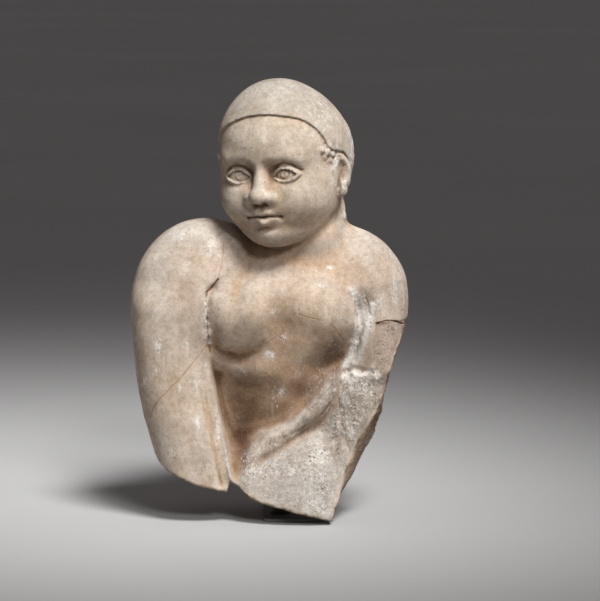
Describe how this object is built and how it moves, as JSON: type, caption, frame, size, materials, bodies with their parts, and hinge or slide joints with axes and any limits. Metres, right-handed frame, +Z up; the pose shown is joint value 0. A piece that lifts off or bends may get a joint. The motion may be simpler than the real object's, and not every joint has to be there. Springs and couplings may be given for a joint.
{
  "type": "terracotta boy statuette",
  "caption": "Hollow terracotta fragment of a boy, head turned and one arm wrapped in a cloak, broken off at the lap, held up by a rod on a thin foot plate.",
  "frame": {"origin": "a point of the foot plate's underside beside the rod's axis, 7.25 mm from the plate's middle towards -X and 2 mm towards -Y", "axes": "+Z up through the head, +Y towards the figure's back, +X to the viewer's right; the chest faces -Y and the face is turned about 24 degrees towards -X"},
  "size_m": [0.1249, 0.0684, 0.1977],
  "materials": {
    "terracotta": "unglazed, matt, buff with whitish crust",
    "mount_steel": "matt black",
    "foot_steel": "matt grey"
  },
  "bodies": {
    "root": {"statuette": "terracotta", "support_rod": "mount_steel", "foot_plate": "foot_steel"}
  },
  "joints": []
}
